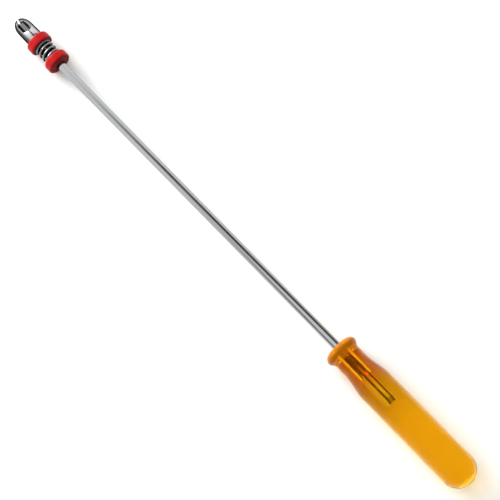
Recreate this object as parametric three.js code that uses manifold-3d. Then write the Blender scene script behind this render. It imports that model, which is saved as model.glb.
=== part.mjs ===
// Screw holding screwdriver: a translucent amber handle, a long round shank with a flat blade,
// and at its end two spring jaws that a sliding red ring closes over the head of a screw.
// Millimetres, +Z up. The tool lies along X with its jaws towards +X, and rests on Z = 0.
import * as THREE from "three";
import { mergeVertices } from "three/addons/utils/BufferGeometryUtils.js";
import Module from "manifold-3d";

// Handle, measured back from its front face
const handleDiameter = 19.05;
const handleLength = 95.25;
const flareDiameter = 18.5;
const flareRim = 2.75; // radius of the rounded front rim
const flareDrop = 4; // from the widest point of the flare to the waist
const waistDiameter = 15;
const waistLength = 5.5;
const shoulderLength = 16.7; // from the waist to the full body

// Shank, with the blade at its front end and the tang inside the handle
const shankDiameter = 4.76;
const shankReach = 247; // handle face to the end of the blade
const bladeThickness = 0.9;
const bladeTaper = 13; // length of the ground flats
const tangRoundLength = 21.5;
const tangFlatLength = 18.5; // flattened stretch that keeps the handle from turning
const tangThickness = 2.8;
const tangWidth = 6.2;
const tangPoint = 3; // taper at each end of the flattened stretch
const tangNeck = 3.8; // height that the tapers come down to

// Jaws, measured back from the nose
const noseReach = 2.4; // nose ahead of the end of the blade
const noseLength = 6.5; // the domed part
const jawDiameter = 9.3;
const mouthDiameter = 9.6; // where the closing ring bears on the jaws
const jawLength = 15.7; // nose to the front ring
const jawTaper = 4.6; // length over which the jaws draw in to their tails
const jawTail = 3.9;
const jawWall = 0.7;
const lipGap = 1.2; // between the two jaws at the nose
const lipDepth = 1.3;
const windowWidth = 5.9;
const windowLength = 10.6; // nose to the back of the side window
const windowRound = 2.1; // length of its rounded back end
const slitWidth = 0.7; // between the jaws behind the window

// Rings, spring and what fixes them
const ringLength = 5.5;
const ringWall = 1;
const ringEdge = 1.5; // length of the rounded edges
const ringLand = 0.2; // flat face left between a rounded edge and the bore
const ringGap = 8.8; // between the two rings at rest
const sleeveWall = 0.5;
const sleeveInset = 0.3; // the closing sleeve stands back from the front ring's face
const webThickness = 0.8; // floor of the closing sleeve, which the spring pushes on
const frontSeatDepth = 1; // how far the spring reaches into the front ring
const rearSeatDepth = 1.7;
const wireDiameter = 1.3;
const springTurns = 4.25;
const springStart = 0.25; // rear end of the wire, in turns from the left side
const endTurns = 0.6; // closer wound turns at each end of the spring
const endPitch = 1.85;
const collarLength = 2.8;
const collarWall = 1.55;
const pinDiameter = 1.5;

// Clearances
const slideGap = 0.3; // between pieces that move past each other
const boreGap = 0.27; // between the shank and what is threaded on it
const seatGap = 0.15; // between pieces that are pressed or moulded together
const springGap = 0.5; // between the jaw tube and the spring
const slitEndGap = 0.3; // between a jaw's tail and the tube that it springs from
const overshoot = 1; // how far a cut runs past the surface that it cuts

// Facets
const roundSides = 24; // a flat side faces straight down
const arcSteps = 6;
const curlSteps = 8;
const wireSides = 5;
const samplesPerStep = 4; // points per step of the spring on which its gap is measured

// Places along the jaws and rings, as distances behind the nose
const noseAt = shankReach + noseReach;
const taperEnd = jawLength + jawTaper;
const tailEnd = taperEnd + jawTail;
const tubeFront = tailEnd + slitEndGap;
const frontRingBack = jawLength + ringLength;
const springFront = frontRingBack - frontSeatDepth;
const rearRingFront = frontRingBack + ringGap;
const rearRingBack = rearRingFront + ringLength;
const springBack = rearRingFront + rearSeatDepth;
const collarFront = springBack;
const collarBack = collarFront + collarLength;
const pinAt = (collarFront + collarBack) / 2;

// Radii, worked outwards from the shank
const shankRadius = shankDiameter / 2;
const tubeBore = shankRadius + boreGap;
const tubeRadius = tubeBore + jawWall;
const springMeanRadius = tubeRadius + springGap + wireDiameter / 2;
const springRadius = springMeanRadius + wireDiameter / 2;
const collarBore = tubeRadius + seatGap;
const collarRadius = collarBore + collarWall;
const jawRadius = jawDiameter / 2;
const mouthRadius = mouthDiameter / 2;
const sleeveBore = mouthRadius + slideGap;
const sleeveRadius = sleeveBore + sleeveWall;
const webBore = springMeanRadius - slideGap;
const springRecess = springRadius + slideGap;
const ringBore = Math.max(sleeveRadius + seatGap, springRecess);
const ringRadius = Math.max(ringBore, collarRadius + seatGap) + ringWall;

// Materials
const finishes = {
  amber: new THREE.MeshStandardMaterial({ color: 0xeea50c, roughness: 0.15, metalness: 0 }),
  red: new THREE.MeshStandardMaterial({ color: 0xc8191c, roughness: 0.35, metalness: 0 }),
  chrome: new THREE.MeshStandardMaterial({ color: 0xc8c9cb, roughness: 0.12, metalness: 1 }),
  steel: new THREE.MeshStandardMaterial({ color: 0x8f9194, roughness: 0.35, metalness: 1 }),
};

const wasm = await Module();
wasm.setup();

// A closed geometry as a solid that can be joined and cut.
function solidOf(geometry) {
  const bare = geometry.index ? geometry.toNonIndexed() : geometry.clone();
  bare.deleteAttribute("normal");
  bare.deleteAttribute("uv");
  const welded = mergeVertices(bare, 1e-4);
  const corners = welded.index.array;
  const kept = [];
  for (let i = 0; i < corners.length; i += 3) {
    const [a, b, c] = [corners[i], corners[i + 1], corners[i + 2]];
    if (a !== b && b !== c && c !== a) kept.push(a, b, c);
  }
  return new wasm.Manifold(
    new wasm.Mesh({
      numProp: 3,
      vertProperties: welded.attributes.position.array,
      triVerts: new Uint32Array(kept),
    }),
  );
}

// A solid back as geometry.
function geometryOf(solid) {
  const mesh = solid.getMesh();
  const geometry = new THREE.BufferGeometry();
  geometry.setAttribute("position", new THREE.BufferAttribute(mesh.vertProperties, 3));
  geometry.setIndex(new THREE.BufferAttribute(mesh.triVerts, 1));
  geometry.computeVertexNormals();
  return geometry;
}

// A solid turned about X from [x, radius] points, outside forwards and inside back.
function turned(points, sides = roundSides) {
  const outline = points.map(([x, radius]) => new THREE.Vector2(radius, x));
  return new THREE.LatheGeometry(outline, sides, Math.PI / sides).rotateZ(-Math.PI / 2);
}

// A plain tube along X.
function tube(from, to, bore, radius) {
  return turned([
    [from, bore],
    [from, radius],
    [to, radius],
    [to, bore],
    [from, bore],
  ]);
}

// Points of an elliptic arc in [x, radius], between two angles in quarter turns.
function arc(x, radius, halfLength, halfHeight, from, to, steps = arcSteps) {
  return Array.from({ length: steps + 1 }, (_, i) => {
    const angle = ((from + ((to - from) * i) / steps) * Math.PI) / 2;
    return [x + halfLength * Math.cos(angle), radius + halfHeight * Math.sin(angle)];
  });
}

// A flat outline in X and Y, thick along Z and centred on it.
function plate(points, thickness) {
  const shape = new THREE.Shape(points.map(([x, y]) => new THREE.Vector2(x, y)));
  const settings = { depth: thickness, bevelEnabled: false };
  return new THREE.ExtrudeGeometry(shape, settings).translate(0, 0, -thickness / 2);
}

// The same outline standing in X and Z, thick along Y.
function uprightPlate(points, thickness) {
  return plate(points, thickness).rotateX(Math.PI / 2);
}

// The cross pin, or the hole for it, along Y.
function crossPin(radius, length) {
  return new THREE.CylinderGeometry(radius, radius, length, roundSides).translate(-pinAt, 0, 0);
}

function piece(name, geometry, finish) {
  const mesh = new THREE.Mesh(geometry, finish);
  mesh.name = name;
  return mesh;
}

// Handle: round butt, straight body, waist and a flared front, bored for the tang.
function makeHandle() {
  const bodyRadius = handleDiameter / 2;
  const waistRadius = waistDiameter / 2;
  const flareRadius = flareDiameter / 2;
  const waistFront = -(flareRim + flareDrop);
  const waistBack = waistFront - waistLength;
  const bodyFront = waistBack - shoulderLength;
  const ease = (x0, r0, x1, r1) =>
    Array.from({ length: arcSteps - 1 }, (_, i) => {
      const t = (i + 1) / arcSteps;
      return [x0 + (x1 - x0) * t, r0 + ((r1 - r0) * (1 - Math.cos(Math.PI * t))) / 2];
    });
  const outline = [
    ...arc(bodyRadius - handleLength, 0, bodyRadius, bodyRadius, 2, 1, 2 * arcSteps),
    [bodyFront, bodyRadius],
    ...ease(bodyFront, bodyRadius, waistBack, waistRadius),
    [waistBack, waistRadius],
    [waistFront, waistRadius],
    ...ease(waistFront, waistRadius, -flareRim, flareRadius),
    ...arc(-flareRim, flareRadius - flareRim, flareRim, flareRim, 1, 0),
    [0, 0],
  ];
  const roundDepth = tangRoundLength + seatGap;
  const bore = tube(-roundDepth, overshoot, 0, shankRadius + seatGap);
  const slot = uprightPlate(tangOutline(seatGap), tangThickness + 2 * seatGap);
  return geometryOf(solidOf(turned(outline)).subtract(solidOf(bore)).subtract(solidOf(slot)));
}

// Side outline of the flattened tang, grown by a clearance for its slot in the handle.
function tangOutline(gap) {
  const front = -tangRoundLength + tangPoint;
  const back = -tangRoundLength - tangFlatLength - gap;
  const half = tangWidth / 2 + gap;
  const neck = tangNeck / 2 + gap;
  return [
    [front, -neck],
    [front, neck],
    [front - tangPoint, half],
    [back + tangPoint, half],
    [back, neck],
    [back, -neck],
    [back + tangPoint, -half],
    [front - tangPoint, -half],
  ];
}

// Shank: one bar, ground flat above and below at the blade and flattened at the tang.
function makeShank() {
  const bar = solidOf(tube(-tangRoundLength, shankReach, 0, shankRadius));
  const tang = solidOf(uprightPlate(tangOutline(0), tangThickness));
  const half = bladeThickness / 2;
  const past = shankRadius + overshoot;
  const ground = [
    [shankReach + overshoot, half],
    [shankReach + overshoot, past],
    [shankReach - bladeTaper, past],
    [shankReach - bladeTaper, shankRadius],
    [shankReach, half],
  ];
  const upper = solidOf(uprightPlate(ground, 2 * past));
  const lower = solidOf(uprightPlate(ground, 2 * past).rotateX(Math.PI));
  const pinHole = solidOf(crossPin(pinDiameter / 2 + seatGap, 2 * past).translate(noseAt, 0, 0));
  return geometryOf(bar.add(tang).subtract(upper).subtract(lower).subtract(pinHole));
}

// One jaw: half of a domed shell of revolution, with half of the side window cut from each edge.
function makeJaw() {
  const innerNose = noseLength - jawWall;
  const shell = turned([
    [-tailEnd, tubeBore],
    [-tailEnd, tubeRadius],
    [-taperEnd, tubeRadius],
    [-jawLength, mouthRadius],
    ...arc(-noseLength, 0, noseLength, jawRadius, 1, 0, 2 * arcSteps),
    ...arc(-noseLength, 0, innerNose, jawRadius - jawWall, 0, 1, 2 * arcSteps),
    [-jawLength, mouthRadius - jawWall],
    [-taperEnd, tubeBore],
    [-tailEnd, tubeBore],
  ]);
  const windowHalf = windowWidth / 2;
  const lipHalf = lipGap / 2;
  const slitHalf = slitWidth / 2;
  const windowNose = noseLength - lipDepth;
  const lipAngle = Math.asin(lipHalf / windowHalf) / (Math.PI / 2);
  const past = mouthRadius + overshoot;
  const outline = [
    [overshoot, lipHalf],
    [overshoot, past],
    [-tailEnd - overshoot, past],
    [-tailEnd - overshoot, slitHalf],
    ...arc(windowRound - windowLength, slitHalf, windowRound, windowHalf - slitHalf, 2, 1),
    ...arc(-noseLength, 0, windowNose, windowHalf, 1, lipAngle, 2 * arcSteps),
  ];
  return geometryOf(solidOf(shell).intersect(solidOf(plate(outline, 2 * past))));
}

// A ring with rounded outer edges, from its bore outline given front to back.
function ringOutline(front, back, bore) {
  const edgeHeight = (radius) => Math.min(ringEdge, ringRadius - ringLand - radius);
  const frontHeight = edgeHeight(bore[0][1]);
  const backHeight = edgeHeight(bore.at(-1)[1]);
  return [
    ...bore,
    ...arc(-back + ringEdge, ringRadius - backHeight, ringEdge, backHeight, 2, 1),
    ...arc(-front - ringEdge, ringRadius - frontHeight, ringEdge, frontHeight, 1, 0),
    bore[0],
  ];
}

// Front ring: slides on the jaws, with a lip behind the closing sleeve.
function makeFrontRing() {
  return turned(
    ringOutline(jawLength, frontRingBack, [
      [-jawLength, sleeveRadius + seatGap],
      [-springFront - seatGap, sleeveRadius + seatGap],
      [-springFront - seatGap, springRecess],
      [-frontRingBack, springRecess],
    ]),
  );
}

// Closing sleeve: the steel cup in the front ring that draws the jaws together.
function makeClosingSleeve() {
  const front = jawLength + sleeveInset;
  return turned([
    [-springFront, webBore],
    [-springFront, sleeveRadius],
    [-front, sleeveRadius],
    [-front, sleeveBore],
    [-springFront + webThickness, sleeveBore],
    [-springFront + webThickness, webBore],
    [-springFront, webBore],
  ]);
}

// Rear ring: a cup over the collar, closed round the shank at its back.
function makeRearRing() {
  return turned(
    ringOutline(rearRingFront, rearRingBack, [
      [-rearRingFront, springRecess],
      [-collarFront, springRecess],
      [-collarFront, collarRadius + seatGap],
      [-collarBack - seatGap, collarRadius + seatGap],
      [-collarBack - seatGap, tubeBore],
      [-rearRingBack, tubeBore],
    ]),
  );
}

// Jaw tube: the unslit back of the jaws, threaded on the shank through the spring.
function makeJawTube() {
  const hole = solidOf(crossPin(pinDiameter / 2 + seatGap, 2 * (tubeRadius + overshoot)));
  return geometryOf(solidOf(tube(-collarBack, -tubeFront, tubeBore, tubeRadius)).subtract(hole));
}

// Rear collar: pinned through the tube and the shank, it carries the rear ring and the spring.
function makeRearCollar() {
  const hole = solidOf(crossPin(pinDiameter / 2 + seatGap, 2 * (collarRadius + overshoot)));
  return geometryOf(solidOf(tube(-collarBack, -collarFront, collarBore, collarRadius)).subtract(hole));
}

// Centre line of the spring, back to front, with its end turns wound closer.
class SpringPath extends THREE.Curve {
  getPoint(t, target = new THREE.Vector3()) {
    const turn = t * springTurns;
    const start = wireDiameter / 2 - springBack;
    const travel = springBack - springFront - wireDiameter;
    const openPitch = (travel - 2 * endTurns * endPitch) / (springTurns - 2 * endTurns);
    const rearTurn = Math.min(turn, endTurns);
    const openTurn = Math.min(Math.max(turn - endTurns, 0), springTurns - 2 * endTurns);
    const frontTurn = Math.max(turn - springTurns + endTurns, 0);
    const x = start + (rearTurn + frontTurn) * endPitch + openTurn * openPitch;
    const angle = (turn + springStart) * 2 * Math.PI;
    return target.set(x, springMeanRadius * Math.cos(angle), springMeanRadius * Math.sin(angle));
  }
}

// Closing spring: one length of wire along a helix.
function makeSpring() {
  const path = new SpringPath();
  const section = new THREE.Shape(
    Array.from({ length: wireSides }, (_, i) => {
      const angle = (i * 2 * Math.PI) / wireSides;
      return new THREE.Vector2(Math.cos(angle), Math.sin(angle)).multiplyScalar(wireDiameter / 2);
    }),
  );
  const steps = Math.round(springTurns * curlSteps);
  console.log("spring: least gap to itself " + leastGap(path, steps).toFixed(2) + " mm");
  return new THREE.ExtrudeGeometry(section, { extrudePath: path, steps, bevelEnabled: false });
}

// Least distance between turns of a coil, measured on its points more than half a turn apart.
function leastGap(path, steps) {
  const points = path.getPoints(steps * samplesPerStep);
  const apart = (curlSteps * samplesPerStep) / 2;
  let least = Infinity;
  points.forEach((p, i) => {
    for (let j = i + apart; j < points.length; j += 1) {
      least = Math.min(least, p.distanceTo(points[j]));
    }
  });
  return least - wireDiameter;
}

const gripper = new THREE.Group();
gripper.position.x = noseAt;
const rightSide = new THREE.Group();
rightSide.rotation.x = Math.PI;
rightSide.add(piece("right_jaw", makeJaw(), finishes.chrome));
gripper.add(
  piece("left_jaw", makeJaw(), finishes.chrome),
  rightSide,
  piece("front_ring", makeFrontRing(), finishes.red),
  piece("closing_sleeve", makeClosingSleeve(), finishes.steel),
  piece("closing_spring", makeSpring(), finishes.steel),
  piece("rear_ring", makeRearRing(), finishes.red),
  piece("jaw_tube", makeJawTube(), finishes.chrome),
  piece("rear_collar", makeRearCollar(), finishes.steel),
  piece("cross_pin", crossPin(pinDiameter / 2, 2 * collarRadius - 2 * seatGap), finishes.steel),
);

const tool = new THREE.Group();
tool.position.x = (handleLength - noseAt) / 2;
tool.position.z = (Math.max(handleDiameter, flareDiameter) / 2) * Math.cos(Math.PI / roundSides);
tool.add(
  piece("handle", makeHandle(), finishes.amber),
  piece("shank", makeShank(), finishes.chrome),
  gripper,
);

const screwdriver = new THREE.Group();
screwdriver.add(tool);

export default screwdriver;
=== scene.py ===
import bpy
import math
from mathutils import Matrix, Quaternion, Vector


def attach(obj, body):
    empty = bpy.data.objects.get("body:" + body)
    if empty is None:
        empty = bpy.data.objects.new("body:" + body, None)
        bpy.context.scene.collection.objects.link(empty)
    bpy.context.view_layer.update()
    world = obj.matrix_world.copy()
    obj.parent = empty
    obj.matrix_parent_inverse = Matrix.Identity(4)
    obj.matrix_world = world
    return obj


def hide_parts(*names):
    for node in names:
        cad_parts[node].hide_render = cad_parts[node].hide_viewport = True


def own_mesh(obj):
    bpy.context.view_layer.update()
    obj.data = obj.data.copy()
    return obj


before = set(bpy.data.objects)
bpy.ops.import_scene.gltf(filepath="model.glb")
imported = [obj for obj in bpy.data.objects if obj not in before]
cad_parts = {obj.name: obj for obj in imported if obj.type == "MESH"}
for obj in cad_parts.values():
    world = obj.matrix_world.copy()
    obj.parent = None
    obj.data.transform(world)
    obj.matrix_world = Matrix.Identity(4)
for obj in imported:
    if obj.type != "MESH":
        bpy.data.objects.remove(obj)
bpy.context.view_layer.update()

mm = 0.001
toolLine = {"height": 9.4435, "nose": 172.325, "face": -77.075}  # axis, jaws' nose and handle's face, in mm
axisPoint = (0, 0, toolLine["height"] * mm)
fitPlan = {"slide": 0.3, "seat": 0.15, "overshoot": 1.0}  # moving gap, pressed gap, a cut's run past
print("frame loaded:", len(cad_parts), "nodes")


# ways of working

meshPlan = {"join": 0.0001, "merge": 0.0002, "cutMerge": 0.003}  # mm, under which points become one
ahead, outward, behind = 0, 1, 2  # where an arc starts and ends, in quarter turns from +X


def clearSelection():
    if bpy.context.object and bpy.context.object.mode != "OBJECT":
        bpy.ops.object.mode_set(mode="OBJECT")
    bpy.ops.object.select_all(action="DESELECT")


def pick(piece):
    clearSelection()
    piece.select_set(True)
    bpy.context.view_layer.objects.active = piece


def settle(piece):  # place and turn go into the mesh
    pick(piece)
    bpy.ops.object.transform_apply(location=True, rotation=True, scale=True)
    return piece


def drawLine(name, points, closed=False):  # one vertex, extruded from point to point
    clearSelection()
    bpy.ops.mesh.primitive_plane_add(size=mm, location=points[0])
    piece = bpy.context.object
    piece.name = piece.data.name = name
    bpy.ops.object.mode_set(mode="EDIT")
    bpy.ops.mesh.select_all(action="SELECT")
    bpy.ops.mesh.merge(type="CENTER")
    for here, there in zip(points, points[1:]):
        step = Vector(there) - Vector(here)
        bpy.ops.mesh.extrude_region_move(TRANSFORM_OT_translate={"value": step})
    bpy.ops.mesh.select_all(action="SELECT")
    if closed:
        bpy.ops.mesh.remove_doubles(threshold=meshPlan["join"] * mm)
    return piece


def tidyMesh(reach=meshPlan["merge"]):  # in edit mode: close points merged, faces turned outwards
    bpy.ops.mesh.select_all(action="SELECT")
    bpy.ops.mesh.remove_doubles(threshold=reach * mm)
    bpy.ops.mesh.normals_make_consistent(inside=False)
    bpy.ops.object.mode_set(mode="OBJECT")


def turnPiece(name, outline, sides):  # outline is [x, radius] in mm, turned about the tool's axis
    points = [(x * mm, 0, (toolLine["height"] + radius) * mm) for x, radius in outline]
    piece = drawLine(name, points)
    bpy.ops.mesh.spin(steps=sides, angle=2 * math.pi, center=axisPoint, axis=(1, 0, 0))
    tidyMesh()
    return settle(piece)


def platePiece(name, outline, thickness, upright=False):  # outline in mm about the axis, made thick
    height = toolLine["height"]
    half = thickness / 2
    if upright:
        points = [(x * mm, -half * mm, (height + z) * mm) for x, z in outline]
        grow = (0, thickness * mm, 0)
    else:
        points = [(x * mm, y * mm, (height - half) * mm) for x, y in outline]
        grow = (0, 0, thickness * mm)
    piece = drawLine(name, points + points[:1], closed=True)
    bpy.ops.mesh.edge_face_add()
    bpy.ops.mesh.extrude_region_move(TRANSFORM_OT_translate={"value": grow})
    tidyMesh()
    return settle(piece)


def combine(piece, other, operation, reach=meshPlan["cutMerge"]):  # a Boolean, which uses up the other piece
    pick(piece)
    bpy.ops.object.modifier_add(type="BOOLEAN")
    change = piece.modifiers[-1]
    change.object = other
    change.operation = operation
    change.solver = "EXACT"
    bpy.ops.object.modifier_apply(modifier=change.name)
    bpy.data.objects.remove(other)
    bpy.ops.object.mode_set(mode="EDIT")
    tidyMesh(reach)


def softenEdges(piece, plan):  # a small bevel on edges sharper than the plan's angle
    pick(piece)
    bpy.ops.object.modifier_add(type="BEVEL")
    bevel = piece.modifiers[-1]
    bevel.width = plan["bevel"] * mm
    bevel.segments = plan["bevelSteps"]
    bevel.limit_method = "ANGLE"
    bevel.angle_limit = math.radians(plan["bevelAngle"])
    bevel.use_clamp_overlap = True
    bpy.ops.object.modifier_apply(modifier=bevel.name)


def smooth(piece, angle):
    pick(piece)
    bpy.ops.object.shade_smooth_by_angle(angle=math.radians(angle))


def arcPoints(x, radius, halfLength, halfHeight, start, end, steps):  # part of an ellipse, as [x, radius]
    points = []
    for i in range(steps + 1):
        angle = (start + (end - start) * i / steps) * math.pi / 2
        points.append((x + halfLength * math.cos(angle), radius + halfHeight * math.sin(angle)))
    return points


def easePoints(x0, r0, x1, r1, steps):  # an S curve between two radii, ends left out
    return [(x0 + (x1 - x0) * i / steps, r0 + (r1 - r0) * (1 - math.cos(math.pi * i / steps)) / 2)
            for i in range(1, steps)]


# ways of making materials

colourMix = {"data_type": "RGBA"}
colourA, colourB, mixed = 6, 7, 2  # a colour Mix node's sockets, whose names repeat
softStep = {"interpolation_type": "SMOOTHSTEP"}


def linear(hexColour):
    values = [int(hexColour[i:i + 2], 16) / 255 for i in (1, 3, 5)]
    return [v / 12.92 if v <= 0.04045 else ((v + 0.055) / 1.055) ** 2.4 for v in values] + [1.0]


def addNode(tree, kind, settings=None, inputs=None, links=None):
    node = tree.nodes.new(kind)
    for key, value in (settings or {}).items():
        setattr(node, key, value)
    for key, value in (inputs or {}).items():
        node.inputs[key].default_value = value
    for key, (other, output) in (links or {}).items():
        tree.links.new(other.outputs[output], node.inputs[key])
    return node


def newMaterial(name, inputs):
    material = bpy.data.materials.new(name)
    material.use_nodes = True
    tree = material.node_tree
    shader = tree.nodes["Principled BSDF"]
    for key, value in inputs.items():
        shader.inputs[key].default_value = value
    return material, tree, shader


def feed(tree, shader, sources):  # links from nodes to the shader's own sockets
    for socket, (node, output) in sources.items():
        tree.links.new(node.outputs[output], shader.inputs[socket])


def giveMaterial(piece, material):
    piece.data.materials.clear()
    piece.data.materials.append(material)


def perMm(size):  # a pattern's scale from the size of its marks in mm
    return 1 / (size * mm)


# shank: one round bar, ground to a blade in front and flattened to a tang behind

shankPlan = {
    "radius": 2.38, "reach": 247.0, "sides": 72,
    "smoothAngle": 6,  # keeps the ground flats sharp against the round bar
    "bladeThickness": 0.9, "bladeTaper": 13.0,
    "tangRound": 21.5, "tangFlat": 18.5, "tangThickness": 2.8, "tangWidth": 6.2,
    "tangPoint": 3.0, "tangNeck": 3.8,
}
barPlan = {  # places and widths in mm
    # the tang's pair is painted shade with a painted reflection, for the bar inside the handle
    "chrome": ("#939596", "#a3a4a5"), "tang": ("#1c1815", "#c8bca8"), "blade": "#6c6d6e",
    "stretch": 0.012, "lineSize": 0.35, "lineDetail": 4.0, "lineRoughness": 0.6,  # coarse, to show
    "lineRange": (0.3, 0.7), "polish": (0.06, 0.16), "grooveStrength": 0.12, "grooveDepth": 0.02,
    "platedFrom": (-79.5, -77.5), "groundFrom": (156.6, 157.2),
    "reflectionShift": 0.1, "reflectionWidth": (0.4, 0.75),
}


# cold drawn steel bar, chrome plated as far as the handle: mirror bright, with fine drawing lines along it;
# the tang inside the handle is painted dark as shade, with a painted reflection as a light line along it, and
# greyer where the blade is ground
def makeChromedBar():
    p = barPlan
    material, tree, shader = newMaterial("chromedBar", {"Metallic": 1.0})
    place = addNode(tree, "ShaderNodeTexCoord")
    alongBar = addNode(tree, "ShaderNodeMapping", inputs={"Scale": (p["stretch"], 1, 1)},
                       links={"Vector": (place, "Object")})
    drawnLines = addNode(tree, "ShaderNodeTexNoise", inputs={
        "Scale": perMm(p["lineSize"]), "Detail": p["lineDetail"], "Roughness": p["lineRoughness"]},
        links={"Vector": (alongBar, "Vector")})
    chrome = addNode(tree, "ShaderNodeMix", colourMix,
                     {colourA: linear(p["chrome"][0]), colourB: linear(p["chrome"][1])}, {0: (drawnLines, 0)})
    polish = addNode(tree, "ShaderNodeMapRange", inputs={
        "From Min": p["lineRange"][0], "From Max": p["lineRange"][1],
        "To Min": p["polish"][0], "To Max": p["polish"][1]}, links={"Value": (drawnLines, 0)})
    grooves = addNode(tree, "ShaderNodeBump", inputs={
        "Strength": p["grooveStrength"], "Distance": p["grooveDepth"] * mm},
        links={"Height": (drawnLines, 0)})
    parts = addNode(tree, "ShaderNodeSeparateXYZ", links={"Vector": (place, "Object")})
    # painted shade: past the handle's face the bar is dark
    plated = addNode(tree, "ShaderNodeMapRange", inputs={
        "From Min": p["platedFrom"][0] * mm, "From Max": p["platedFrom"][1] * mm},
        links={"Value": (parts, "X")})
    # painted reflection: a light line along the dark tang
    fromLine = addNode(tree, "ShaderNodeMath", {"operation": "ADD"}, {1: p["reflectionShift"] * mm},
                       {0: (parts, "Y")})
    apart = addNode(tree, "ShaderNodeMath", {"operation": "ABSOLUTE"}, links={0: (fromLine, 0)})
    paintedReflectionLine = addNode(tree, "ShaderNodeMapRange", inputs={
        "From Min": p["reflectionWidth"][0] * mm, "From Max": p["reflectionWidth"][1] * mm,
        "To Min": 1.0, "To Max": 0.0}, links={"Value": (apart, 0)})
    tangShadeAndReflection = addNode(tree, "ShaderNodeMix", colourMix,
                        {colourA: linear(p["tang"][0]), colourB: linear(p["tang"][1])}, {0: (paintedReflectionLine, 0)})
    barSteel = addNode(tree, "ShaderNodeMix", colourMix,
                       links={0: (plated, 0), colourA: (tangShadeAndReflection, mixed), colourB: (chrome, mixed)})
    ground = addNode(tree, "ShaderNodeMapRange", inputs={
        "From Min": p["groundFrom"][0] * mm, "From Max": p["groundFrom"][1] * mm},
        links={"Value": (parts, "X")})
    surface = addNode(tree, "ShaderNodeMix", colourMix, {colourB: linear(p["blade"])},
                      {0: (ground, 0), colourA: (barSteel, mixed)})
    feed(tree, shader, {"Base Color": (surface, mixed), "Roughness": (polish, "Result"),
                        "Normal": (grooves, "Normal")})
    return material


def tangOutline(gap):
    p = shankPlan
    front = toolLine["face"] - p["tangRound"] + p["tangPoint"]
    back = toolLine["face"] - p["tangRound"] - p["tangFlat"] - gap
    half = p["tangWidth"] / 2 + gap
    neck = p["tangNeck"] / 2 + gap
    upper = [(front, neck), (front - p["tangPoint"], half), (back + p["tangPoint"], half), (back, neck)]
    return upper + [(x, -z) for x, z in reversed(upper)]


def makeShank():
    p = shankPlan
    front = toolLine["face"] + p["reach"]
    back = toolLine["face"] - p["tangRound"]
    clearSelection()
    bpy.ops.mesh.primitive_cylinder_add(
        vertices=p["sides"], radius=p["radius"] * mm, depth=(front - back) * mm,
        location=((front + back) / 2 * mm, 0, axisPoint[2]), rotation=(0, math.pi / 2, 0))
    shank = bpy.context.object
    shank.name = shank.data.name = "steelShank"
    bpy.ops.object.mode_set(mode="EDIT")
    drop = p["radius"] - p["bladeThickness"] / 2
    for side in (1, -1):  # the two ground faces of the blade
        bpy.ops.mesh.select_all(action="SELECT")
        bpy.ops.mesh.bisect(
            plane_co=(front * mm, 0, axisPoint[2] + side * p["bladeThickness"] / 2 * mm),
            plane_no=(drop, 0, side * p["bladeTaper"]), use_fill=True, clear_outer=True)
    tidyMesh()
    settle(shank)
    combine(shank, platePiece("tang", tangOutline(0), p["tangThickness"], upright=True), "UNION")
    smooth(shank, p["smoothAngle"])
    return shank


chromedBar = makeChromedBar()
steelShank = makeShank()
giveMaterial(steelShank, chromedBar)
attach(steelShank, "tool")
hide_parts("shank")
print("shank made:", len(steelShank.data.polygons), "faces")


# handle: round butt, straight body, waist, flared front, bored for the tang

handlePlan = {
    "length": 95.25, "body": 9.525, "flare": 9.25, "rim": 2.75, "flareDrop": 4.0,
    "waist": 7.5, "waistRun": 5.5, "shoulder": 16.7, "sides": 128, "boreSides": 72,
    "buttSteps": 28, "shoulderSteps": 24, "flareSteps": 14, "smoothAngle": 30,
}
acetatePlan = {  # places and sizes in mm
    "ior": 1.48, "specular": 0.15, "tint": "#6e4e14",
    # the deep amber is painted shade, laid from the shoulder to the front of the handle
    "amber": ("#ffd82e", "#ffce24"), "deep": "#f09c14", "depth": "#ffd24a", "density": 8.0,
    "stretch": 0.15, "flowSize": 5, "flowDetail": 3.0,
    "scuffSize": 0.8, "scuffDetail": 4.0, "scuffRange": (0.35, 0.75), "gloss": (0.03, 0.1),
    "waveSize": 7, "waveDetail": 1.0, "waveStrength": 0.25, "waveDepth": 0.1,
    "neck": (-109, -96), "flare": (-86, -82), "clarity": (0.95, 0.68),  # clear body, cloudier flare
}
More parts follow.
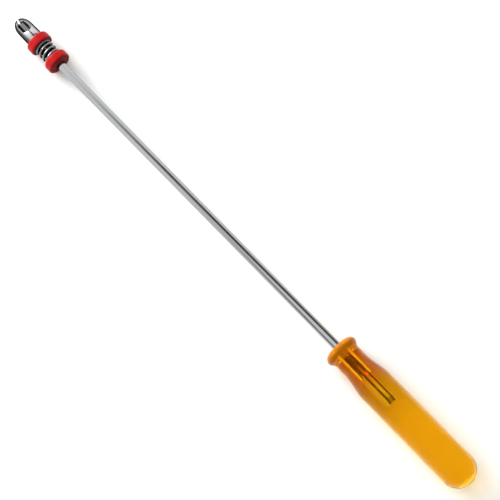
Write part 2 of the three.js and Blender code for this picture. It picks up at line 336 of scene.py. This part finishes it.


# cellulose acetate, moulded and vapour polished: clear amber with a soft gloss, faint flow along it and
# fine scuffs, a deeper amber painted from the shoulder forward as shade, and cloudier in the flare
def makeAmberAcetate():
    p = acetatePlan
    material, tree, shader = newMaterial("amberAcetate", {
        "IOR": p["ior"], "Specular IOR Level": p["specular"], "Specular Tint": linear(p["tint"])})
    place = addNode(tree, "ShaderNodeTexCoord")
    alongTool = addNode(tree, "ShaderNodeMapping", inputs={"Scale": (p["stretch"], 1, 1)},
                        links={"Vector": (place, "Object")})
    flow = addNode(tree, "ShaderNodeTexNoise", inputs={
        "Scale": perMm(p["flowSize"]), "Detail": p["flowDetail"]}, links={"Vector": (alongTool, "Vector")})
    amber = addNode(tree, "ShaderNodeMix", colourMix,
                    {colourA: linear(p["amber"][0]), colourB: linear(p["amber"][1])}, {0: (flow, 0)})
    scuffs = addNode(tree, "ShaderNodeTexNoise", inputs={
        "Scale": perMm(p["scuffSize"]), "Detail": p["scuffDetail"]}, links={"Vector": (alongTool, "Vector")})
    gloss = addNode(tree, "ShaderNodeMapRange", inputs={
        "From Min": p["scuffRange"][0], "From Max": p["scuffRange"][1],
        "To Min": p["gloss"][0], "To Max": p["gloss"][1]}, links={"Value": (scuffs, 0)})
    waves = addNode(tree, "ShaderNodeTexNoise", inputs={
        "Scale": perMm(p["waveSize"]), "Detail": p["waveDetail"]}, links={"Vector": (place, "Object")})
    ripple = addNode(tree, "ShaderNodeBump", inputs={
        "Strength": p["waveStrength"], "Distance": p["waveDepth"] * mm}, links={"Height": (waves, 0)})
    absorption = addNode(tree, "ShaderNodeVolumeAbsorption", inputs={
        "Color": linear(p["depth"]), "Density": p["density"]})
    parts = addNode(tree, "ShaderNodeSeparateXYZ", links={"Vector": (place, "Object")})
    # painted shade: a deeper amber from the shoulder to the front of the handle
    neck = addNode(tree, "ShaderNodeMapRange", softStep,
                   {"From Min": p["neck"][0] * mm, "From Max": p["neck"][1] * mm}, {"Value": (parts, "X")})
    amberWithShade = addNode(tree, "ShaderNodeMix", colourMix, {colourB: linear(p["deep"])},
                        {0: (neck, 0), colourA: (amber, mixed)})
    clarity = addNode(tree, "ShaderNodeMapRange", softStep, {
        "From Min": p["flare"][0] * mm, "From Max": p["flare"][1] * mm,
        "To Min": p["clarity"][0], "To Max": p["clarity"][1]}, {"Value": (parts, "X")})
    feed(tree, shader, {"Transmission Weight": (clarity, "Result"), "Base Color": (amberWithShade, mixed),
                        "Roughness": (gloss, "Result"), "Normal": (ripple, "Normal")})
    feed(tree, tree.nodes["Material Output"], {"Volume": (absorption, "Volume")})
    return material


def makeHandle():
    p = handlePlan
    face = toolLine["face"]
    buttCentre = face - p["length"] + p["body"]
    flareAt = face - p["rim"]
    waistFront = flareAt - p["flareDrop"]
    waistBack = waistFront - p["waistRun"]
    bodyFront = waistBack - p["shoulder"]
    outline = arcPoints(buttCentre, 0, p["body"], p["body"], behind, outward, p["buttSteps"])
    outline += [(bodyFront, p["body"])]
    outline += easePoints(bodyFront, p["body"], waistBack, p["waist"], p["shoulderSteps"])
    outline += [(waistBack, p["waist"]), (waistFront, p["waist"])]
    outline += easePoints(waistFront, p["waist"], flareAt, p["flare"], p["flareSteps"])
    outline += arcPoints(flareAt, p["flare"] - p["rim"], p["rim"], p["rim"], outward, ahead, p["flareSteps"])
    outline += [(face, 0)]
    handle = turnPiece("amberHandle", outline, p["sides"])
    gap = fitPlan["seat"]
    boreRadius = shankPlan["radius"] + gap
    boreBack = face - shankPlan["tangRound"] - gap
    boreFront = face + fitPlan["overshoot"]
    boreOutline = [(boreBack, 0), (boreBack, boreRadius), (boreFront, boreRadius), (boreFront, 0)]
    combine(handle, turnPiece("bore", boreOutline, p["boreSides"]), "DIFFERENCE")
    slot = platePiece("slot", tangOutline(gap), shankPlan["tangThickness"] + 2 * gap, upright=True)
    combine(handle, slot, "DIFFERENCE")
    smooth(handle, p["smoothAngle"])
    return handle


amberAcetate = makeAmberAcetate()
amberHandle = makeHandle()
giveMaterial(amberHandle, amberAcetate)
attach(amberHandle, "tool")
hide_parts("handle")
print("handle made:", len(amberHandle.data.polygons), "faces")


# jaws: a domed shell, cut into halves with a window over the blade

jawPlan = {
    "domeLength": 6.5, "radius": 4.65, "mouth": 4.8, "length": 15.7, "taper": 4.6, "tail": 3.9, "wall": 0.7,
    "tubeBore": 2.65, "lipGap": 1.2, "lipDepth": 1.3,
    "windowWidth": 5.9, "windowLength": 10.6, "windowRound": 2.1, "slit": 0.7,
    "sides": 96, "domeSteps": 32, "windowSteps": 12, "lipSteps": 24, "cutMerge": 0.04,
    "bevel": 0.16, "bevelSteps": 2, "bevelAngle": 40, "smoothAngle": 30,
}
jawSteelPlan = {  # places and sizes in mm
    # a shaded and a lit grey of the one steel, then the places of the painted light and shade
    "tint": "#6a6a6a", "steel": ("#454547", "#acadad"),
    "inside": (4.25, 4.5), "litCrown": (2.6, 4.0), "clearOfRings": (153, 157),
    "stretch": 0.1, "markSize": 0.3, "markDetail": 3.0, "markRange": (0.3, 0.7), "polish": (0.1, 0.24),
    "grooveStrength": 0.1, "grooveDepth": 0.02,
}


# spring steel, hardened and polished, its colour painted light and shade: a lit grey along the top and
# underside and on the inside walls, painted shade on the flanks and on the tube and jaw roots under the front
# ring and the spring
def makePolishedJawSteel():
    p = jawSteelPlan
    nose = toolLine["nose"]
    material, tree, shader = newMaterial("polishedJawSteel", {
        "Metallic": 1.0, "Specular Tint": linear(p["tint"])})
    place = addNode(tree, "ShaderNodeTexCoord")
    centred = addNode(tree, "ShaderNodeMapping", inputs={"Location": (0, 0, -axisPoint[2])},
                      links={"Vector": (place, "Object")})
    parts = addNode(tree, "ShaderNodeSeparateXYZ", links={"Vector": (centred, "Vector")})
    pastDome = addNode(tree, "ShaderNodeMapRange", inputs={  # the dome drawn in to a half ball
        "From Min": (nose - jawPlan["domeLength"]) * mm, "From Max": nose * mm,
        "To Max": jawPlan["radius"] * mm}, links={"Value": (parts, "X")})
    shellPoint = addNode(tree, "ShaderNodeCombineXYZ",
                         links={"X": (pastDome, 0), "Y": (parts, "Y"), "Z": (parts, "Z")})
    shell = addNode(tree, "ShaderNodeVectorMath", {"operation": "LENGTH"}, links={0: (shellPoint, "Vector")})
    # painted light: the shell's inside walls get the lit grey
    inner = addNode(tree, "ShaderNodeMapRange", inputs={
        "From Min": p["inside"][0] * mm, "From Max": p["inside"][1] * mm,
        "To Min": 1.0, "To Max": 0.0}, links={"Value": (shell, "Value")})
    # painted shade: the flanks get the shaded grey, the top and underside the lit grey, by height above the
    # axis
    height = addNode(tree, "ShaderNodeMath", {"operation": "ABSOLUTE"}, links={0: (parts, "Z")})
    litCrown = addNode(tree, "ShaderNodeMapRange", softStep,
                    {"From Min": p["litCrown"][0] * mm, "From Max": p["litCrown"][1] * mm}, {"Value": (height, 0)})
    # painted shade: the tube and the jaws' roots under the front ring and the spring get the shaded grey
    clearOfRings = addNode(tree, "ShaderNodeMapRange", softStep,
                    {"From Min": p["clearOfRings"][0] * mm, "From Max": p["clearOfRings"][1] * mm}, {"Value": (parts, "X")})
    kept = addNode(tree, "ShaderNodeMath", {"operation": "MAXIMUM"}, links={0: (litCrown, 0), 1: (inner, 0)})
    bright = addNode(tree, "ShaderNodeMath", {"operation": "MULTIPLY"}, links={0: (kept, 0), 1: (clearOfRings, 0)})
    steel = addNode(tree, "ShaderNodeMix", colourMix,
                    {colourA: linear(p["steel"][0]), colourB: linear(p["steel"][1])}, {0: (bright, 0)})
    acrossJaw = addNode(tree, "ShaderNodeMapping", inputs={"Scale": (1, p["stretch"], p["stretch"])},
                        links={"Vector": (centred, "Vector")})
    polishMarks = addNode(tree, "ShaderNodeTexNoise", inputs={
        "Scale": perMm(p["markSize"]), "Detail": p["markDetail"]}, links={"Vector": (acrossJaw, "Vector")})
    polish = addNode(tree, "ShaderNodeMapRange", inputs={
        "From Min": p["markRange"][0], "From Max": p["markRange"][1],
        "To Min": p["polish"][0], "To Max": p["polish"][1]}, links={"Value": (polishMarks, 0)})
    grooves = addNode(tree, "ShaderNodeBump", inputs={
        "Strength": p["grooveStrength"], "Distance": p["grooveDepth"] * mm},
        links={"Height": (polishMarks, 0)})
    feed(tree, shader, {"Base Color": (steel, mixed), "Roughness": (polish, "Result"),
                        "Normal": (grooves, "Normal")})
    return material


def jawOutline(domeAt, mouthAt, taperAt, tailAt):  # the whole shell, outside and then inside
    p = jawPlan
    wall = p["wall"]
    tubeOuter = p["tubeBore"] + wall
    outline = [(tailAt, p["tubeBore"]), (tailAt, tubeOuter), (taperAt, tubeOuter), (mouthAt, p["mouth"])]
    outline += arcPoints(domeAt, 0, p["domeLength"], p["radius"], outward, ahead, p["domeSteps"])
    outline += arcPoints(domeAt, 0, p["domeLength"] - wall, p["radius"] - wall, ahead, outward,
                         p["domeSteps"])
    return outline + [(mouthAt, p["mouth"] - wall), (taperAt, p["tubeBore"]), (tailAt, p["tubeBore"])]


def jawCutOutline(domeAt, tailAt, past):  # what one jaw keeps: lip, window and slit along its inner side
    p = jawPlan
    windowHalf = p["windowWidth"] / 2
    slitHalf = p["slit"] / 2
    lipHalf = p["lipGap"] / 2
    lipAngle = math.asin(lipHalf / windowHalf) / (math.pi / 2)
    front = toolLine["nose"] + fitPlan["overshoot"]
    back = tailAt - fitPlan["overshoot"]
    roundAt = toolLine["nose"] - p["windowLength"] + p["windowRound"]
    outline = [(front, lipHalf), (front, past), (back, past), (back, slitHalf)]
    outline += arcPoints(roundAt, slitHalf, p["windowRound"], windowHalf - slitHalf, behind, outward,
                         p["windowSteps"])
    return outline + arcPoints(domeAt, 0, p["domeLength"] - p["lipDepth"], windowHalf, outward, lipAngle,
                               p["lipSteps"])


def makeJaws():
    p = jawPlan
    domeAt = toolLine["nose"] - p["domeLength"]
    mouthAt = toolLine["nose"] - p["length"]
    taperAt = mouthAt - p["taper"]
    tailAt = taperAt - p["tail"]
    left = turnPiece("leftJaw", jawOutline(domeAt, mouthAt, taperAt, tailAt), p["sides"])
    past = p["mouth"] + fitPlan["overshoot"]
    jawCut = platePiece("jawCut", jawCutOutline(domeAt, tailAt, past), 2 * past)
    combine(left, jawCut, "INTERSECT", p["cutMerge"])
    softenEdges(left, p)
    smooth(left, p["smoothAngle"])
    pick(left)
    bpy.ops.object.duplicate()
    right = bpy.context.object
    right.name = right.data.name = "rightJaw"
    bpy.ops.object.mode_set(mode="EDIT")
    bpy.ops.mesh.select_all(action="SELECT")
    bpy.ops.transform.rotate(value=math.pi, orient_axis="X", center_override=axisPoint)
    bpy.ops.object.mode_set(mode="OBJECT")
    return left, right


polishedJawSteel = makePolishedJawSteel()
leftJaw, rightJaw = makeJaws()
for jaw, node in ((leftJaw, "left_jaw"), (rightJaw, "right_jaw")):
    giveMaterial(jaw, polishedJawSteel)
    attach(jaw, node)
    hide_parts(node)
print("jaws made:", len(leftJaw.data.polygons), "faces each")


# places of the rings and of what they hold, in mm along the tool

gripPlan = {"ringLength": 5.5, "ringGap": 8.8, "frontSeat": 1.0, "rearSeat": 1.7, "collarLength": 2.8,
            "slitEnd": 0.3, "wire": 1.3, "springRadius": 4.5, "collarRadius": 5.05, "sleeveWall": 0.5}
frontRingAt = toolLine["nose"] - jawPlan["length"]
frontRingBack = frontRingAt - gripPlan["ringLength"]
rearRingAt = frontRingBack - gripPlan["ringGap"]
rearRingBack = rearRingAt - gripPlan["ringLength"]
springFront = frontRingBack + gripPlan["frontSeat"]
springBack = rearRingAt - gripPlan["rearSeat"]  # the spring bears on the collar's front face
collarBack = springBack - gripPlan["collarLength"]
tubeFront = frontRingAt - jawPlan["taper"] - jawPlan["tail"] - gripPlan["slitEnd"]
sleeveBore = jawPlan["mouth"] + fitPlan["slide"]
sleeveRadius = sleeveBore + gripPlan["sleeveWall"]


# red rings: the front one slides on the jaws, the rear one is a cup over the collar

ringPlan = {
    "radius": 6.75, "round": 1.5, "land": 0.2, "roundSteps": 10, "sides": 96,
    "bevel": 0.08, "bevelSteps": 2, "bevelAngle": 50, "smoothAngle": 30,
}
styrenePlan = {  # places and sizes in mm
    # the darker red is painted shade on the rings' rear faces, fading out over their rear millimetre
    "ior": 1.55, "specular": 0.12, "red": ("#9e0407", "#aa080b"), "rearShade": "#6c0306", "rearShadeFade": (0.1, 1.1),
    "rim": (6.2, 6.75), "gloss": (0.55, 0.4), "cloudSize": 2.5, "cloudDetail": 3.0,
    "skinSize": 0.35, "skinDetail": 2.0, "grainStrength": 0.12, "grainDepth": 0.03,
}


# red polystyrene, moulded: deep red with a semi gloss skin, rubbed smoother round the rim where fingers draw
# it back, and painted shade, a darker red, on the rear faces
def makeRedStyrene():
    p = styrenePlan
    material, tree, shader = newMaterial("redStyrene", {"IOR": p["ior"], "Specular IOR Level": p["specular"]})
    place = addNode(tree, "ShaderNodeTexCoord")
    fromAxis = addNode(tree, "ShaderNodeMapping", inputs={
        "Location": (0, 0, -axisPoint[2]), "Scale": (0, 1, 1)}, links={"Vector": (place, "Object")})
    reach = addNode(tree, "ShaderNodeVectorMath", {"operation": "LENGTH"}, links={0: (fromAxis, "Vector")})
    rubbed = addNode(tree, "ShaderNodeMapRange", inputs={
        "From Min": p["rim"][0] * mm, "From Max": p["rim"][1] * mm,
        "To Min": p["gloss"][0], "To Max": p["gloss"][1]}, links={"Value": (reach, "Value")})
    cloud = addNode(tree, "ShaderNodeTexNoise", inputs={
        "Scale": perMm(p["cloudSize"]), "Detail": p["cloudDetail"]}, links={"Vector": (place, "Object")})
    red = addNode(tree, "ShaderNodeMix", colourMix,
                  {colourA: linear(p["red"][0]), colourB: linear(p["red"][1])}, {0: (cloud, 0)})
    skin = addNode(tree, "ShaderNodeTexNoise", inputs={
        "Scale": perMm(p["skinSize"]), "Detail": p["skinDetail"]}, links={"Vector": (place, "Object")})
    grain = addNode(tree, "ShaderNodeBump", inputs={
        "Strength": p["grainStrength"], "Distance": p["grainDepth"] * mm}, links={"Height": (skin, 0)})
    parts = addNode(tree, "ShaderNodeSeparateXYZ", links={"Vector": (place, "Object")})
    # painted shade: the rear millimetre of each ring gets the darker red
    fromRear = addNode(tree, "ShaderNodeMath", {"operation": "SUBTRACT"}, {1: rearRingBack * mm},
                       {0: (parts, "X")})
    ringStep = gripPlan["ringLength"] + gripPlan["ringGap"]  # from one ring's rear face to the other's
    inRing = addNode(tree, "ShaderNodeMath", {"operation": "MODULO"}, {1: ringStep * mm}, {0: (fromRear, 0)})
    outOfRearShade = addNode(tree, "ShaderNodeMapRange", softStep, {
        "From Min": p["rearShadeFade"][0] * mm, "From Max": p["rearShadeFade"][1] * mm}, {"Value": (inRing, 0)})
    redWithRearShade = addNode(tree, "ShaderNodeMix", colourMix, {colourA: linear(p["rearShade"])},
                      {0: (outOfRearShade, 0), colourB: (red, mixed)})
    feed(tree, shader, {"Base Color": (redWithRearShade, mixed), "Roughness": (rubbed, "Result"),
                        "Normal": (grain, "Normal")})
    return material


def ringOutline(front, bore):
    p = ringPlan
    edge = p["round"]
    back = front - gripPlan["ringLength"]
    frontHeight, backHeight = [min(edge, p["radius"] - p["land"] - end[1]) for end in (bore[0], bore[-1])]
    rim = arcPoints(back + edge, p["radius"] - backHeight, edge, backHeight, behind, outward, p["roundSteps"])
    rim += arcPoints(front - edge, p["radius"] - frontHeight, edge, frontHeight, outward, ahead,
                     p["roundSteps"])
    return bore + rim + bore[:1]


def makeRings():
    p = ringPlan
    gap = fitPlan["seat"]
    springBore = gripPlan["springRadius"] + gripPlan["wire"] / 2 + fitPlan["slide"]
    sleeveSeat = sleeveRadius + gap
    seatAt = springFront - gap
    frontBore = [(frontRingAt, sleeveSeat), (seatAt, sleeveSeat), (seatAt, springBore),
                 (frontRingBack, springBore)]
    front = turnPiece("frontRing", ringOutline(frontRingAt, frontBore), p["sides"])
    collarSeat = gripPlan["collarRadius"] + gap
    cupAt = collarBack - gap
    rearBore = [(rearRingAt, springBore), (springBack, springBore), (springBack, collarSeat),
                (cupAt, collarSeat), (cupAt, jawPlan["tubeBore"]), (rearRingBack, jawPlan["tubeBore"])]
    rear = turnPiece("rearRing", ringOutline(rearRingAt, rearBore), p["sides"])
    for ring in (front, rear):
        softenEdges(ring, p)
        smooth(ring, p["smoothAngle"])
    return front, rear


redStyrene = makeRedStyrene()
frontRing, rearRing = makeRings()
for ring, node, body in ((frontRing, "front_ring", "closing_ring"), (rearRing, "rear_ring", "tool")):
    giveMaterial(ring, redStyrene)
    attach(ring, body)
    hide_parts(node)
print("rings made")


# spring: a round wire carried round the axis step by step, its end turns wound closer

springPlan = {"turns": 4.25, "endTurns": 0.6, "endPitch": 1.85, "stepsPerTurn": 40, "wireSides": 14,
              "smoothAngle": 50, "keep": 0.6}  # the share of its length left with the ring drawn back
# the wire pair is painted shade, near black, and a painted highlight, lighter grey, on the coil's outer crest
wirePlan = {"wire": ("#101011", "#8c8d8f"), "outside": (4.7, 5.12), "markSize": 0.4, "markDetail": 3.0,
            "markRange": (0.3, 0.7), "shine": (0.1, 0.22)}  # sizes in mm


# oil tempered spring wire with a thin shine: painted shade, near black, on most of the coil, and a painted
# highlight along its outer crest
def makeTemperedWire():
    p = wirePlan
    material, tree, shader = newMaterial("temperedWire", {"Metallic": 1.0})
    place = addNode(tree, "ShaderNodeTexCoord")
    fromAxis = addNode(tree, "ShaderNodeMapping", inputs={
        "Location": (0, 0, -axisPoint[2]), "Scale": (0, 1, 1)}, links={"Vector": (place, "Object")})
    reach = addNode(tree, "ShaderNodeVectorMath", {"operation": "LENGTH"}, links={0: (fromAxis, "Vector")})
    # painted highlight on the coil's outer crest, painted shade on the rest of the wire
    outside = addNode(tree, "ShaderNodeMapRange", softStep, {
        "From Min": p["outside"][0] * mm, "From Max": p["outside"][1] * mm}, {"Value": (reach, "Value")})
    wire = addNode(tree, "ShaderNodeMix", colourMix,
                   {colourA: linear(p["wire"][0]), colourB: linear(p["wire"][1])}, {0: (outside, 0)})
    dieMarks = addNode(tree, "ShaderNodeTexNoise", inputs={
        "Scale": perMm(p["markSize"]), "Detail": p["markDetail"]}, links={"Vector": (place, "Object")})
    shine = addNode(tree, "ShaderNodeMapRange", inputs={
        "From Min": p["markRange"][0], "From Max": p["markRange"][1],
        "To Min": p["shine"][0], "To Max": p["shine"][1]}, links={"Value": (dieMarks, 0)})
    feed(tree, shader, {"Base Color": (wire, mixed), "Roughness": (shine, "Result")})
    return material


def makeSpring():
    p = springPlan
    wire = gripPlan["wire"]
    travel = springFront - springBack - wire
    openPitch = (travel - 2 * p["endTurns"] * p["endPitch"]) / (p["turns"] - 2 * p["endTurns"])
    steps = round(p["turns"] * p["stepsPerTurn"])
    start = springBack + wire / 2
    clearSelection()
    bpy.ops.mesh.primitive_circle_add(  # the wire's end, on top of the coil
        vertices=p["wireSides"], radius=wire / 2 * mm, fill_type="NGON",
        location=(start * mm, 0, axisPoint[2] + gripPlan["springRadius"] * mm), rotation=(math.pi / 2, 0, 0))
    spring = bpy.context.object
    spring.name = spring.data.name = "closingSpring"
    bpy.ops.object.mode_set(mode="EDIT")
    bpy.ops.mesh.select_all(action="SELECT")
    turn = p["turns"] / steps
    for i in range(steps):
        middle = (i + 0.5) * turn
        endWound = middle < p["endTurns"] or middle > p["turns"] - p["endTurns"]
        pitch = p["endPitch"] if endWound else openPitch
        bpy.ops.mesh.extrude_region_move(TRANSFORM_OT_translate={"value": (pitch * turn * mm, 0, 0)})
        bpy.ops.transform.rotate(value=-turn * 2 * math.pi, orient_axis="X", center_override=axisPoint)
    tidyMesh()
    settle(spring)
    smooth(spring, p["smoothAngle"])
    return spring


temperedWire = makeTemperedWire()
closingSpring = makeSpring()
giveMaterial(closingSpring, temperedWire)
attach(closingSpring, "tool")
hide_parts("closing_spring")
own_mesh(closingSpring)
print("spring made:", len(closingSpring.data.polygons), "faces")


# turned steel: the jaws' tube, the closing sleeve in the front ring and the collar in the rear one

turnedPlan = {"sides": 72, "bevel": 0.12, "bevelSteps": 2, "bevelAngle": 50, "smoothAngle": 30}
tubePlan = {"front": tubeFront, "back": collarBack, "bore": jawPlan["tubeBore"],
            "radius": jawPlan["tubeBore"] + jawPlan["wall"]}
collarPlan = {"front": springBack, "back": collarBack, "bore": tubePlan["radius"] + fitPlan["seat"],
              "radius": gripPlan["collarRadius"]}
sleevePlan = {"inset": 0.3, "web": 0.8}
plainSteelPlan = {"grey": ("#7f8082", "#97989a"), "polish": (0.26, 0.42), "markSize": 0.2, "waveFactor": 20,
                  "distortion": 1.5, "markDetail": 2.0, "markStrength": 0.2, "markDepth": 0.02}


# free cutting steel, turned and left plain: grey, with the tool's fine rings round it, drawn coarser than
# real ones, so that they show; the wave node works at 20 times its scale
def makeTurnedSteel():
    p = plainSteelPlan
    material, tree, shader = newMaterial("turnedSteel", {"Metallic": 1.0})
    place = addNode(tree, "ShaderNodeTexCoord")
    toolMarks = addNode(tree, "ShaderNodeTexWave", {"bands_direction": "X"}, {
        "Scale": perMm(p["markSize"]) / p["waveFactor"], "Distortion": p["distortion"],
        "Detail": p["markDetail"]}, {"Vector": (place, "Object")})
    grey = addNode(tree, "ShaderNodeMix", colourMix,
                   {colourA: linear(p["grey"][0]), colourB: linear(p["grey"][1])}, {0: (toolMarks, 1)})
    polish = addNode(tree, "ShaderNodeMapRange", inputs={"To Min": p["polish"][0], "To Max": p["polish"][1]},
                     links={"Value": (toolMarks, 1)})
    rings = addNode(tree, "ShaderNodeBump", inputs={
        "Strength": p["markStrength"], "Distance": p["markDepth"] * mm}, links={"Height": (toolMarks, 1)})
    feed(tree, shader, {"Base Color": (grey, mixed), "Roughness": (polish, "Result"),
                        "Normal": (rings, "Normal")})
    return material


def makeTurned(name, outline):
    piece = turnPiece(name, outline, turnedPlan["sides"])
    softenEdges(piece, turnedPlan)
    smooth(piece, turnedPlan["smoothAngle"])
    return piece


def makeTube(name, plan):
    return makeTurned(name, [
        (plan["front"], plan["bore"]), (plan["back"], plan["bore"]), (plan["back"], plan["radius"]),
        (plan["front"], plan["radius"]), (plan["front"], plan["bore"])])


def makeSleeve():
    front = frontRingAt - sleevePlan["inset"]
    back = springFront
    floor = back + sleevePlan["web"]
    webBore = gripPlan["springRadius"] - fitPlan["slide"]
    return makeTurned("closingSleeve", [
        (back, webBore), (back, sleeveRadius), (front, sleeveRadius), (front, sleeveBore),
        (floor, sleeveBore), (floor, webBore), (back, webBore)])


turnedSteel = makeTurnedSteel()
jawTube = makeTube("jawTube", tubePlan)
rearCollar = makeTube("rearCollar", collarPlan)
closingSleeve = makeSleeve()
for piece, node, body, finish, slotName in (
        (jawTube, "jaw_tube", "tool", polishedJawSteel, "jaw_steel"),
        (rearCollar, "rear_collar", "tool", turnedSteel, "plain_steel"),
        (closingSleeve, "closing_sleeve", "closing_ring", turnedSteel, "plain_steel")):
    giveMaterial(piece, finish)
    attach(piece, body)
    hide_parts(node)
print("tube, sleeve and collar made")


# cross pin: through the collar, the tube and the shank, with its ends rounded off

pinPlan = {"at": (springBack + collarBack) / 2, "radius": 0.75, "sides": 40,
           "length": 2 * (gripPlan["collarRadius"] - fitPlan["seat"]),  # a little below the collar's surface
           "bevel": 0.25, "bevelSteps": 3, "bevelAngle": 50, "smoothAngle": 40}


def pinRod(name, radius, length):
    clearSelection()
    bpy.ops.mesh.primitive_cylinder_add(
        vertices=pinPlan["sides"], radius=radius * mm, depth=length * mm,
        location=(pinPlan["at"] * mm, 0, axisPoint[2]), rotation=(math.pi / 2, 0, 0))
    rod = bpy.context.object
    rod.name = rod.data.name = name
    return settle(rod)


def makePin():
    p = pinPlan
    holeRadius = p["radius"] + fitPlan["seat"]
    holeLength = p["length"] + 2 * fitPlan["overshoot"]
    for piece in (steelShank, jawTube, rearCollar):
        combine(piece, pinRod("pinHole", holeRadius, holeLength), "DIFFERENCE")
        smooth(piece, shankPlan["smoothAngle"])
    pin = pinRod("crossPin", p["radius"], p["length"])
    softenEdges(pin, p)
    smooth(pin, p["smoothAngle"])
    return pin


crossPin = makePin()
giveMaterial(crossPin, turnedSteel)
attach(crossPin, "tool")
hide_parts("cross_pin")
print("cross pin made")


# floor, light and camera

floorPlan = {"size": 6.0, "colour": "#f4f4f2", "roughness": 0.9,  # size in m, places in mm
             "handleAt": -106.0, "handleLow": -0.0815, "ringAt": 146.0, "ringLow": 2.69}


def makeFloor():
    p = floorPlan
    tilt = math.atan2(p["ringLow"] - p["handleLow"], p["ringAt"] - p["handleAt"])  # under handle and rings
    clearSelection()
    bpy.ops.mesh.primitive_plane_add(size=p["size"], location=(p["handleAt"] * mm, 0, p["handleLow"] * mm),
                                     rotation=(0, -tilt, 0))
    floor = bpy.context.object
    floor.name = floor.data.name = "paleFloor"
    material = newMaterial("paleFloor", {"Base Color": linear(p["colour"]), "Roughness": p["roughness"]})[0]
    giveMaterial(floor, material)


lightPlan = {"name": "jawKeyLight", "at": (1.75, 0.35, 0.75), "size": 1.1, "power": 50.0}  # m and W
roomPlan = {
    "walls": [(-1.0, "#808080"), (-0.2, "#a0a0a0"), (0.1, "#f4f4f4"), (1.0, "#ffffff")],  # grey by X
    "dark": "#0c0c0c", "strength": 1.75, "bounces": 24, "clearBounces": 20,
    "beamFrom": 0.22, "beamEdge": (0.6, 1.4),  # X of a beam's angle, soft edge in half widths
    "beams": [  # degrees about the tool from overhead, degrees for each unit of X, and where in X it fades
        {"angle": -45, "slope": 359, "half": 29, "fade": (0.345, 0.365)},
        {"angle": 88, "slope": -510, "half": 34, "fade": (0.225, 0.31)},
    ],
}


def makeLight():  # a large key beyond the jaws
    p = lightPlan
    facing = (-Vector(p["at"])).to_track_quat("-Z", "Y").to_euler()
    clearSelection()
    bpy.ops.object.light_add(type="AREA", location=p["at"], rotation=facing)
    light = bpy.context.object
    light.name = p["name"]
    light.data.shape = "RECTANGLE"
    light.data.size = light.data.size_y = p["size"]
    light.data.energy = p["power"]


def makeRoom():  # a white room, greyer behind the handle, with two dark beams that the shank mirrors
    p = roomPlan
    world = bpy.data.worlds.new("paleRoom")
    world.use_nodes = True
    tree = world.node_tree
    place = addNode(tree, "ShaderNodeTexCoord")
    parts = addNode(tree, "ShaderNodeSeparateXYZ", links={"Vector": (place, "Generated")})
    along = addNode(tree, "ShaderNodeMapRange", inputs={"From Min": -1.0}, links={"Value": (parts, "X")})
    walls = addNode(tree, "ShaderNodeValToRGB", links={"Fac": (along, "Result")})
    stops = walls.color_ramp.elements
    for i, (side, grey) in enumerate(p["walls"]):
        stop = stops[i] if i < len(stops) else stops.new(1)
        stop.position = (side + 1) / 2
        stop.color = linear(grey)
    around = addNode(tree, "ShaderNodeMath", {"operation": "ARCTAN2"},
                     links={0: (parts, "Y"), 1: (parts, "Z")})
    colour = (walls, "Color")
    for beam in p["beams"]:
        slope = math.radians(beam["slope"])
        half = math.radians(beam["half"])
        start = math.radians(beam["angle"]) - p["beamFrom"] * slope
        line = addNode(tree, "ShaderNodeMath", {"operation": "MULTIPLY_ADD"}, {1: slope, 2: start},
                       {0: (parts, "X")})
        offset = addNode(tree, "ShaderNodeMath", {"operation": "SUBTRACT"},
                         links={0: (around, 0), 1: (line, 0)})
        apart = addNode(tree, "ShaderNodeMath", {"operation": "ABSOLUTE"}, links={0: (offset, 0)})
        near = addNode(tree, "ShaderNodeMapRange", inputs={
            "From Min": p["beamEdge"][0] * half, "From Max": p["beamEdge"][1] * half,
            "To Min": 1.0, "To Max": 0.0}, links={"Value": (apart, 0)})
        reach = addNode(tree, "ShaderNodeMapRange", inputs={
            "From Min": beam["fade"][0], "From Max": beam["fade"][1],
            "To Min": 1.0, "To Max": 0.0}, links={"Value": (parts, "X")})
        beamShade = addNode(tree, "ShaderNodeMath", {"operation": "MULTIPLY"},
                            links={0: (near, 0), 1: (reach, 0)})
        shaded = addNode(tree, "ShaderNodeMix", colourMix, {colourB: linear(p["dark"])},
                         {0: (beamShade, 0), colourA: colour})
        colour = (shaded, mixed)
    feed(tree, tree.nodes["Background"], {"Color": colour})
    tree.nodes["Background"].inputs["Strength"].default_value = p["strength"]
    scene = bpy.context.scene
    scene.world = world
    scene.view_settings.view_transform = "Standard"
    scene.cycles.max_bounces = p["bounces"]
    scene.cycles.transmission_bounces = p["clearBounces"]  # enough to see the tang through the handle


cameraPlan = {"azimuth": 227.5, "elevation": 68.75, "distance": 1.1, "focalPixels": 2152.7, "imageSize": 500,
              "aimAt": -9.6, "aimPixel": (247.45, 255.06), "lean": 5.3, "sensor": 36.0, "clipStart": 0.05}


def makeCamera():
    p = cameraPlan
    azimuth, elevation = math.radians(p["azimuth"]), math.radians(p["elevation"])
    back = Vector((math.sin(azimuth) * math.cos(elevation), -math.cos(azimuth) * math.cos(elevation),
                   math.sin(elevation)))
    turn = (-back).to_track_quat("-Z", "Y")
    perPixel = p["distance"] / p["focalPixels"]
    right = turn @ Vector((1, 0, 0))
    up = turn @ Vector((0, 1, 0))
    middle = p["imageSize"] / 2
    target = Vector((p["aimAt"] * mm, 0, axisPoint[2]))  # the point of the axis that is seen at aimPixel
    target += right * (middle - p["aimPixel"][0]) * perPixel + up * (p["aimPixel"][1] - middle) * perPixel
    lean = Quaternion((1, 0, 0), math.radians(p["lean"]))  # swings the view about the tool's axis
    place = Vector(axisPoint) + lean @ (target + back * p["distance"] - Vector(axisPoint))
    clearSelection()
    bpy.ops.object.camera_add(location=place, rotation=(lean @ turn).to_euler())
    camera = bpy.context.object
    camera.data.sensor_width = p["sensor"]
    camera.data.lens = p["sensor"] * p["focalPixels"] / p["imageSize"]
    camera.data.clip_start = p["clipStart"]
    bpy.context.scene.camera = camera


makeFloor()
makeLight()
makeRoom()
makeCamera()
print("stage set")
